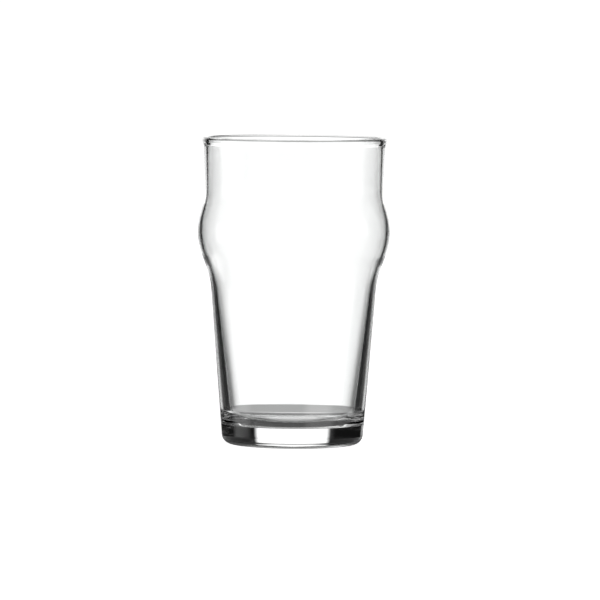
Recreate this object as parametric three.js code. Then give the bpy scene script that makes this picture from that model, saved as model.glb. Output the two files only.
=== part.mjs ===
// A one-pint beer glass with a bulged side, pressed in one piece of clear soda-lime glass.
// Millimetres, +Z up, origin at the middle of the circle that it stands on.

import * as THREE from "three";

// Driving dimensions
const height = 146.5;
const rimRadius = 44.06;
const rimInnerRadius = 41.4;
const footRadius = 33.59;
const ringInnerRadius = 24;
const pushUpHeight = 1.1;
const floorCornerRadius = 29.2;
const floorHeight = 9.3;
const floorCrown = 0.7;

// Where the straight stretches of the wall would meet if nothing were rounded
const hipOutside = { radius: 39.84, level: 79.2, round: 40.5 };
const hipInside = { radius: 37.6, level: 80.7, round: 52 };
const bulgeOutside = { radius: 47.55, level: 99.8, round: 31.5 };
const bulgeInside = { radius: 45.67, level: 99.15, round: 31.5 };
const neckOutside = { radius: 42.51, level: 118.75, round: 30.2 };
const neckInside = { radius: 41.05, level: 118.9, round: 31.8 };

// The rim's rounding, and the narrow bead that stands out below it
const rimOuterRound = 1.45;
const rimInnerRound = 1.15;
const beadWallRadius = 43.4;
const beadStart = 4.1;
const beadFull = 2.4;
const beadRound = 1;

// Rounds of the foot and the inside corner, and the flatter middle of the hollow under the foot
const heelRound = 5.24;
const ringEdgeRound = 2;
const innerCornerRound = 8.7;
const pushUpMiddle = { radius: 13, drop: 0.1, round: 60 };

// The fineness of the faceted solid: facetError is how far a facet may cut inside its arc
const turns = 48;
const facetError = 0.08;
const maxStepLength = 20;

function corner(radius, level, round = 0) {
  return { point: new THREE.Vector2(radius, level), round };
}

function wallCorner(place) {
  return corner(place.radius, place.level, place.round);
}

// The corners of half the glass's section, from the axis under the foot, up the outside,
// over the rim and down the inside to the axis on the floor
function sectionCorners() {
  return [
    corner(0, pushUpHeight),
    corner(pushUpMiddle.radius, pushUpHeight - pushUpMiddle.drop, pushUpMiddle.round),
    corner(ringInnerRadius, 0, ringEdgeRound),
    corner(footRadius, 0, heelRound),
    wallCorner(hipOutside),
    wallCorner(bulgeOutside),
    wallCorner(neckOutside),
    corner(beadWallRadius, height - beadStart, beadRound),
    corner(rimRadius, height - beadFull, beadRound),
    corner(rimRadius, height, rimOuterRound),
    corner(rimInnerRadius, height, rimInnerRound),
    wallCorner(neckInside),
    wallCorner(bulgeInside),
    wallCorner(hipInside),
    corner(floorCornerRadius, floorHeight, innerCornerRound),
    corner(0, floorHeight + floorCrown),
  ];
}

// The round that replaces one corner: an arc that touches the lines on both sides of it
function roundedCorner(before, here, after) {
  const toBefore = before.point.clone().sub(here.point).normalize();
  const toAfter = after.point.clone().sub(here.point).normalize();
  const halfAngle = Math.acos(toBefore.dot(toAfter)) / 2;
  const inward = toBefore.clone().add(toAfter).normalize();
  const centre = inward.multiplyScalar(here.round / Math.sin(halfAngle)).add(here.point);
  const tangentLength = here.round / Math.tan(halfAngle);
  const first = toBefore.multiplyScalar(tangentLength).add(here.point).sub(centre);
  const last = toAfter.multiplyScalar(tangentLength).add(here.point).sub(centre);
  const sweep = Math.atan2(first.cross(last), first.dot(last));
  const stepAngle = 2 * Math.acos(1 - facetError / here.round);
  const steps = Math.ceil(Math.abs(sweep) / stepAngle);
  const points = [];
  for (let step = 0; step <= steps; step += 1) {
    const turned = first.clone().rotateAround(new THREE.Vector2(), (sweep * step) / steps);
    points.push(turned.add(centre));
  }
  return points;
}

// Long straight stretches are split, so that no facet is a long sliver
function splitLongSteps(points) {
  const split = [points[0]];
  for (let index = 1; index < points.length; index += 1) {
    const from = points[index - 1];
    const to = points[index];
    const parts = Math.ceil(from.distanceTo(to) / maxStepLength);
    for (let part = 1; part <= parts; part += 1) {
      split.push(from.clone().lerp(to, part / parts));
    }
  }
  return split;
}

function sectionOutline() {
  const corners = sectionCorners();
  const points = [corners[0].point];
  for (let index = 1; index < corners.length - 1; index += 1) {
    points.push(...roundedCorner(corners[index - 1], corners[index], corners[index + 1]));
  }
  points.push(corners[corners.length - 1].point);
  return splitLongSteps(points);
}

function clearGlass() {
  return new THREE.MeshStandardMaterial({
    color: 0xe9eeee,
    roughness: 0.03,
    metalness: 0,
    transparent: true,
    opacity: 0.35,
  });
}

// A lathe turns its section about Y, so the turned body is stood up on Z
function makeGlassBody() {
  const geometry = new THREE.LatheGeometry(sectionOutline(), turns);
  geometry.rotateX(Math.PI / 2);
  const body = new THREE.Mesh(geometry, clearGlass());
  body.name = "glass_body";
  return body;
}

const pintGlass = new THREE.Group();
pintGlass.add(makeGlassBody());

export default pintGlass;
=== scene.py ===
import math

import bpy
from mathutils import Matrix, Vector


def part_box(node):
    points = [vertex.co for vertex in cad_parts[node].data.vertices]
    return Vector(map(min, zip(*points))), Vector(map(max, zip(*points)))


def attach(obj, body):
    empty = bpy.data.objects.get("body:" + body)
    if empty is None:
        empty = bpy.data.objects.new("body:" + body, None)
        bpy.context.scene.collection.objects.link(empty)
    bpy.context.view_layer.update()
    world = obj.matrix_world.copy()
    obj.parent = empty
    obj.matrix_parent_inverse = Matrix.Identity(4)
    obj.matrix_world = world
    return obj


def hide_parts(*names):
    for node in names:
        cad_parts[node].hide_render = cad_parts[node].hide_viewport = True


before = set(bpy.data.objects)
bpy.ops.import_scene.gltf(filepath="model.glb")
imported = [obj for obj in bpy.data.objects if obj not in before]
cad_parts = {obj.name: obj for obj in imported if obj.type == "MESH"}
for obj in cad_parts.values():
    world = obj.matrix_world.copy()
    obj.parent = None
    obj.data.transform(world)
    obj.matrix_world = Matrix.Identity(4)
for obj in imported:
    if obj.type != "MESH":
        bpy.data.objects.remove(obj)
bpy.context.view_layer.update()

# ---------------------------------------------------------------------------------------------
# The glass: one pressed piece of clear soda-lime glass, with a bulged side and a heavy foot.
# Its half section is drawn from the middle of the foot up the outside, over the rim and down
# the inside, and is then spun round the axis, as the mould and plunger were turned.
# ---------------------------------------------------------------------------------------------
foot_low, rim_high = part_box("glass_body")
mm = 0.001
rim_top = (rim_high[2] - foot_low[2]) / mm
bead_full = rim_top - 2.4
bead_start = rim_top - 4.1

# Each corner is (radius, height, rounding) in millimetres, before it is rounded
underside = [(0, 1.1, 0), (13, 1.0, 60), (24, 0, 2), (33.59, 0, 5.24)]
outside = [(39.84, 79.2, 40.5), (47.55, 99.8, 31.5), (42.51, 118.75, 30.2)]
bead = [(43.4, bead_start, 1), (44.06, bead_full, 1)]
lip = [(44.06, rim_top, 1.45), (41.4, rim_top, 1.15)]
inside = [(41.05, 118.9, 31.8), (45.67, 99.15, 31.5), (37.6, 80.7, 52), (29.2, 9.3, 8.7)]
floor_middle = [(0, 10, 0)]
section_corners = underside + outside + bead + lip + inside + floor_middle

round_step = math.radians(3)
fewest_round_steps = 4
longest_step = 4
spin_steps = 256


def rounded_corner(before, corner, after):
    """The arc that touches the lines on both sides of a corner."""
    here = Vector(corner[:2])
    to_before = (Vector(before[:2]) - here).normalized()
    to_after = (Vector(after[:2]) - here).normalized()
    half_angle = to_before.angle(to_after) / 2
    rounding = corner[2]
    centre = here + (to_before + to_after).normalized() * (rounding / math.sin(half_angle))
    first = here + to_before * (rounding / math.tan(half_angle)) - centre
    last = here + to_after * (rounding / math.tan(half_angle)) - centre
    sweep = first.angle_signed(last)
    steps = max(fewest_round_steps, math.ceil(abs(sweep) / round_step))
    points = []
    for step in range(steps + 1):
        spoke = first.copy()
        spoke.rotate(Matrix.Rotation(-sweep * step / steps, 2))
        points.append(centre + spoke)
    return points


def half_section(corners):
    """Points along the whole outline, with no straight step longer than longest_step."""
    points = [Vector(corners[0][:2])]
    for before, corner, after in zip(corners, corners[1:], corners[2:]):
        points += rounded_corner(before, corner, after)
    points.append(Vector(corners[-1][:2]))
    outline = [points[0]]
    for start, end in zip(points, points[1:]):
        parts = math.ceil((end - start).length / longest_step)
        for part in range(1, parts + 1):
            outline.append(start.lerp(end, part / parts))
    return outline


def draw_wire(name, points):
    """A wire drawn from point to point, by extruding one vertex."""
    bpy.ops.object.select_all(action="DESELECT")
    start = Vector((points[0].x, 0, points[0].y)) * mm
    bpy.ops.mesh.primitive_plane_add(size=mm, location=start)
    wire = bpy.context.object
    wire.name = name
    bpy.ops.object.mode_set(mode="EDIT")
    bpy.ops.mesh.select_all(action="SELECT")
    bpy.ops.mesh.merge(type="CENTER")
    for last, point in zip(points, points[1:]):
        step = (point - last) * mm
        bpy.ops.mesh.extrude_region_move(TRANSFORM_OT_translate={"value": (step.x, 0, step.y)})
    bpy.ops.object.mode_set(mode="OBJECT")
    bpy.ops.object.transform_apply(location=True, rotation=True, scale=True)
    return wire


glass = draw_wire("pint_glass", half_section(section_corners))
bpy.ops.object.mode_set(mode="EDIT")
bpy.ops.mesh.select_all(action="SELECT")
bpy.ops.mesh.spin(steps=spin_steps, angle=2 * math.pi, center=(0, 0, 0), axis=(0, 0, 1))
bpy.ops.mesh.select_all(action="SELECT")
bpy.ops.mesh.remove_doubles(threshold=0.01 * mm)
bpy.ops.mesh.normals_make_consistent(inside=False)
bpy.ops.mesh.faces_shade_smooth()
bpy.ops.object.mode_set(mode="OBJECT")

clear_glass = bpy.data.materials.new("clear_glass")
clear_glass.use_nodes = True
melt = clear_glass.node_tree.nodes
joins = clear_glass.node_tree.links
body = melt["Principled BSDF"]
body.inputs["Base Color"].default_value = (0.985, 0.99, 0.988, 1)
body.inputs["IOR"].default_value = 1.52
body.inputs["Transmission Weight"].default_value = 1.0

# Drawn-out ripples, as the hot glass leaves them where it slides up the mould
where = melt.new("ShaderNodeTexCoord")
stretch = melt.new("ShaderNodeMapping")
stretch.inputs["Scale"].default_value = (1, 1, 0.1)
joins.new(where.outputs["Object"], stretch.inputs["Vector"])
ripples = melt.new("ShaderNodeTexNoise")
ripples.inputs["Scale"].default_value = 110
ripples.inputs["Detail"].default_value = 2
joins.new(stretch.outputs["Vector"], ripples.inputs["Vector"])
ripple_bump = melt.new("ShaderNodeBump")
ripple_bump.inputs["Strength"].default_value = 0.5
ripple_bump.inputs["Distance"].default_value = 0.04 * mm
joins.new(ripples.outputs["Fac"], ripple_bump.inputs["Height"])
joins.new(ripple_bump.outputs["Normal"], body.inputs["Normal"])

# Fire-polished almost everywhere, with a breath of haze in patches
haze = melt.new("ShaderNodeTexNoise")
haze.inputs["Scale"].default_value = 35
joins.new(where.outputs["Object"], haze.inputs["Vector"])
polish = melt.new("ShaderNodeMapRange")
polish.inputs["From Min"].default_value = 0.4
polish.inputs["From Max"].default_value = 0.7
polish.inputs["To Min"].default_value = 0.0
polish.inputs["To Max"].default_value = 0.012
joins.new(haze.outputs["Fac"], polish.inputs["Value"])
joins.new(polish.outputs["Result"], body.inputs["Roughness"])
glass.data.materials.append(clear_glass)

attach(glass, "root")
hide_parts("glass_body")

# ---------------------------------------------------------------------------------------------
# The table: a plain white light table, bright enough that nothing shows on it. The glass
# doesn't show or mirror it: its light on the glass is part of the studio's screens.
# ---------------------------------------------------------------------------------------------
table_size = 7
table_gap = 0.5 * mm
bpy.ops.object.select_all(action="DESELECT")
bpy.ops.mesh.primitive_plane_add(size=table_size, location=(0, 0, foot_low[2] - table_gap))
table = bpy.context.object
table.name = "light_table"
table.visible_transmission = False
table.visible_glossy = False
table_white = bpy.data.materials.new("table_white")
table_white.use_nodes = True
table_face = table_white.node_tree.nodes["Principled BSDF"]
table_face.inputs["Base Color"].default_value = (1, 1, 1, 1)
table_face.inputs["Emission Color"].default_value = (1, 1, 1, 1)
table_face.inputs["Emission Strength"].default_value = 1.0
table.data.materials.append(table_white)

# ---------------------------------------------------------------------------------------------
# The painted shadow: a thin round disc on the table under the foot. It glows mid grey as painted
# shade, and is darker in a ring of painted contact shadow below the ring that the glass stands on.
# Only what is seen through the glass or mirrored in it shows the disc.
# ---------------------------------------------------------------------------------------------
painted_shadow_radius = 47 * mm
painted_shadow_gap = 0.3 * mm
bpy.ops.object.select_all(action="DESELECT")
bpy.ops.mesh.primitive_circle_add(
    vertices=96, radius=painted_shadow_radius, fill_type="NGON", location=(0, 0, foot_low[2] - painted_shadow_gap))
painted_shadow_disc = bpy.context.object
painted_shadow_disc.name = "painted_shadow_disc"
bpy.ops.object.transform_apply(location=True, rotation=True, scale=True)
# The camera doesn't see the disc: it is painted shadow on the table, seen only through the glass
painted_shadow_disc.visible_camera = False
painted_shadow_disc.visible_shadow = False
painted_shadow_grey = bpy.data.materials.new("painted_shadow_grey")
painted_shadow_grey.use_nodes = True
painted_shadow_nodes = painted_shadow_grey.node_tree.nodes
painted_shadow_links = painted_shadow_grey.node_tree.links
painted_shadow_place = painted_shadow_nodes.new("ShaderNodeTexCoord")
from_middle = painted_shadow_nodes.new("ShaderNodeVectorMath")
from_middle.operation = "LENGTH"
painted_shadow_links.new(painted_shadow_place.outputs["Object"], from_middle.inputs[0])
part_way = painted_shadow_nodes.new("ShaderNodeMath")
part_way.operation = "DIVIDE"
part_way.inputs[1].default_value = painted_shadow_radius
painted_shadow_links.new(from_middle.outputs["Value"], part_way.inputs[0])
# Painted shade: mid grey by distance from the middle, standing in for the table in the glass's shadow
painted_shadow_ramp = painted_shadow_nodes.new("ShaderNodeValToRGB")
painted_shadow_links.new(part_way.outputs[0], painted_shadow_ramp.inputs["Fac"])
middle_painted_shade, edge_painted_shade = painted_shadow_ramp.color_ramp.elements
middle_painted_shade.position = 0.23
middle_painted_shade.color = (0.45, 0.45, 0.45, 1)
edge_painted_shade.position = 1.0
edge_painted_shade.color = (0.48, 0.48, 0.48, 1)
# Painted contact shadow: a near-black ring under the ring of the foot that the glass stands on
for ring_side in (0.36, 0.7):
    painted_ring_shadow = painted_shadow_ramp.color_ramp.elements.new(ring_side)
    painted_ring_shadow.color = (0.075, 0.075, 0.075, 1)
painted_shadow_face = painted_shadow_nodes["Principled BSDF"]
# No lit colour of its own: the disc only glows with its painted shade
painted_shadow_face.inputs["Base Color"].default_value = (0, 0, 0, 1)
painted_shadow_face.inputs["Specular IOR Level"].default_value = 0
painted_shadow_links.new(painted_shadow_ramp.outputs["Color"], painted_shadow_face.inputs["Emission Color"])
painted_shadow_face.inputs["Emission Strength"].default_value = 1.0
painted_shadow_disc.data.materials.append(painted_shadow_grey)

# ---------------------------------------------------------------------------------------------
# The studio: a dark room with a white screen behind the glass, so that the edges of the glass
# are dark lines, and more screens for looking at it from the side, the corner and behind. Only
# the glass shows and mirrors the room. The camera itself sees plain white.
# ---------------------------------------------------------------------------------------------
scene = bpy.context.scene
studio = bpy.data.worlds.new("studio")
scene.world = studio
studio.use_nodes = True
air = studio.node_tree.nodes
wires = studio.node_tree.links
air.clear()


def sky_node(kind, **settings):
    node = air.new(kind)
    for key, value in settings.items():
        setattr(node, key, value)
    return node


def maths(operation, first, second=None, third=None):
    node = sky_node("ShaderNodeMath", operation=operation)
    for socket, value in zip(node.inputs, (first, second, third)):
        if value is None:
            continue
        if isinstance(value, (int, float)):
            socket.default_value = value
        else:
            wires.new(value, socket)
    return node.outputs[0]


def smooth_range(value, low, high, out_low, out_high):
    node = sky_node("ShaderNodeMapRange", interpolation_type="SMOOTHSTEP")
    wires.new(value, node.inputs["Value"])
    for name, number in zip(("From Min", "From Max", "To Min", "To Max"), (low, high, out_low, out_high)):
        if isinstance(number, (int, float)):
            node.inputs[name].default_value = number
        else:
            wires.new(number, node.inputs[name])
    return node.outputs["Result"]


# Each place on the walls of the room has a bearing, in degrees to the right of straight behind
# the glass, and a rise, in degrees over the level
direction = sky_node("ShaderNodeTexCoord").outputs["Generated"]
parts = sky_node("ShaderNodeSeparateXYZ")
wires.new(direction, parts.inputs[0])
degrees = 180 / math.pi
rise = maths("MULTIPLY", maths("ARCSINE", parts.outputs["Z"]), degrees)
bearing = maths("MULTIPLY", maths("ARCTAN2", parts.outputs["X"], parts.outputs["Y"]), degrees)
behind = 0
behind_left = -45
left = -90
front_right = 135
all_round = 181
bottom = -91
top = 91


def hang_card(sky, middle, half_width, low, high, side_blur, edge_blur, shade):
    """One card or screen on the walls, in degrees, over what hangs there already."""
    away = maths("ABSOLUTE", maths("WRAP", maths("SUBTRACT", bearing, middle), 180, -180))
    beside = smooth_range(away, half_width - side_blur, half_width + side_blur, 1, 0)
    above = smooth_range(rise, low - edge_blur, low + edge_blur, 0, 1)
    below = smooth_range(rise, high - edge_blur, high + edge_blur, 1, 0)
    cover = maths("MULTIPLY", beside, maths("MULTIPLY", above, below))
    blend = sky_node("ShaderNodeMix", data_type="FLOAT")
    wires.new(cover, blend.inputs["Factor"])
    if isinstance(sky, (int, float)):
        blend.inputs["A"].default_value = sky
    else:
        wires.new(sky, blend.inputs["A"])
    blend.inputs["B"].default_value = shade
    return blend.outputs["Result"]


def hang_screen(sky, middle, screen_top, wall_shade):
    """The lit table near and far, the lit ceiling, the wall, and a white screen with soft sides."""
    sky = hang_card(sky, middle, half_width=18, low=bottom, high=-31, side_blur=6, edge_blur=2, shade=1.15)
    sky = hang_card(sky, middle, half_width=16, low=-32, high=-12, side_blur=7, edge_blur=3, shade=0.47)
    sky = hang_card(sky, middle, half_width=30, low=26, high=top, side_blur=18, edge_blur=8, shade=0.5)
    sky = hang_card(
        sky, middle, half_width=21.5, low=-1, high=20, side_blur=2, edge_blur=1.5, shade=wall_shade)
    return hang_card(
        sky, middle, half_width=16.5, low=-12.5, high=screen_top, side_blur=8, edge_blur=1.5, shade=1.25)


# The dark room, with a dim floor and a dim ceiling
sky = 0.006
sky = hang_card(sky, behind, all_round, low=bottom, high=-15, side_blur=1, edge_blur=4, shade=0.12)
sky = hang_card(sky, behind, all_round, low=35, high=top, side_blur=1, edge_blur=12, shade=0.2)

# The main screen behind the glass, and another to the left for looking at it from the side
sky = hang_screen(sky, left, screen_top=5, wall_shade=0.3)
sky = hang_screen(sky, behind, screen_top=0.5, wall_shade=1.25)

# Low and high screens in two corners, for looking down at the glass from the opposite corners
sky = hang_card(
    sky, behind_left, half_width=17, low=bottom, high=-20, side_blur=9, edge_blur=3.5, shade=1.15)
sky = hang_card(sky, behind_left, half_width=20, low=24, high=60, side_blur=5, edge_blur=3, shade=0.9)
sky = hang_card(sky, front_right, half_width=22, low=bottom, high=-9, side_blur=9, edge_blur=2, shade=1.2)
sky = hang_card(sky, front_right, half_width=17, low=-10, high=25, side_blur=6, edge_blur=2, shade=0.75)

# What the camera sees, and what the glass sees
backdrop = sky_node("ShaderNodeBackground")
wires.new(sky, backdrop.inputs["Color"])
plain_white = sky_node("ShaderNodeBackground")
plain_white.inputs["Color"].default_value = (1, 1, 1, 1)
plain_white.inputs["Strength"].default_value = 1.05
ray_kind = sky_node("ShaderNodeLightPath")
mix = sky_node("ShaderNodeMixShader")
wires.new(ray_kind.outputs["Is Camera Ray"], mix.inputs[0])
wires.new(backdrop.outputs[0], mix.inputs[1])
wires.new(plain_white.outputs[0], mix.inputs[2])
world_out = sky_node("ShaderNodeOutputWorld")
wires.new(mix.outputs[0], world_out.inputs["Surface"])

# ---------------------------------------------------------------------------------------------
# The camera: a long lens a little above the glass, looking slightly down and barely rolled.
# ---------------------------------------------------------------------------------------------
camera_data = bpy.data.cameras.new("camera")
camera = bpy.data.objects.new("camera", camera_data)
scene.collection.objects.link(camera)
scene.camera = camera
camera_distance = 2.673
view_width = 0.2864
look_down = math.radians(3.34)
camera_roll = math.radians(0.485)
aim = Vector((0.00315, 0, 0.06883))
camera_data.sensor_width = 36
camera_data.lens = camera_data.sensor_width * camera_distance / view_width
camera_data.clip_end = 50
back = Vector((0, -math.cos(look_down), math.sin(look_down)))
camera.location = aim + back * camera_distance
camera.rotation_euler = (math.pi / 2 - look_down, 0, 0)
camera.rotation_euler.rotate_axis("Z", camera_roll)

scene.view_settings.view_transform = "Standard"
scene.cycles.max_bounces = 32
scene.cycles.transmission_bounces = 32
scene.cycles.glossy_bounces = 16
scene.cycles.use_denoising = True

bpy.context.view_layer.update()
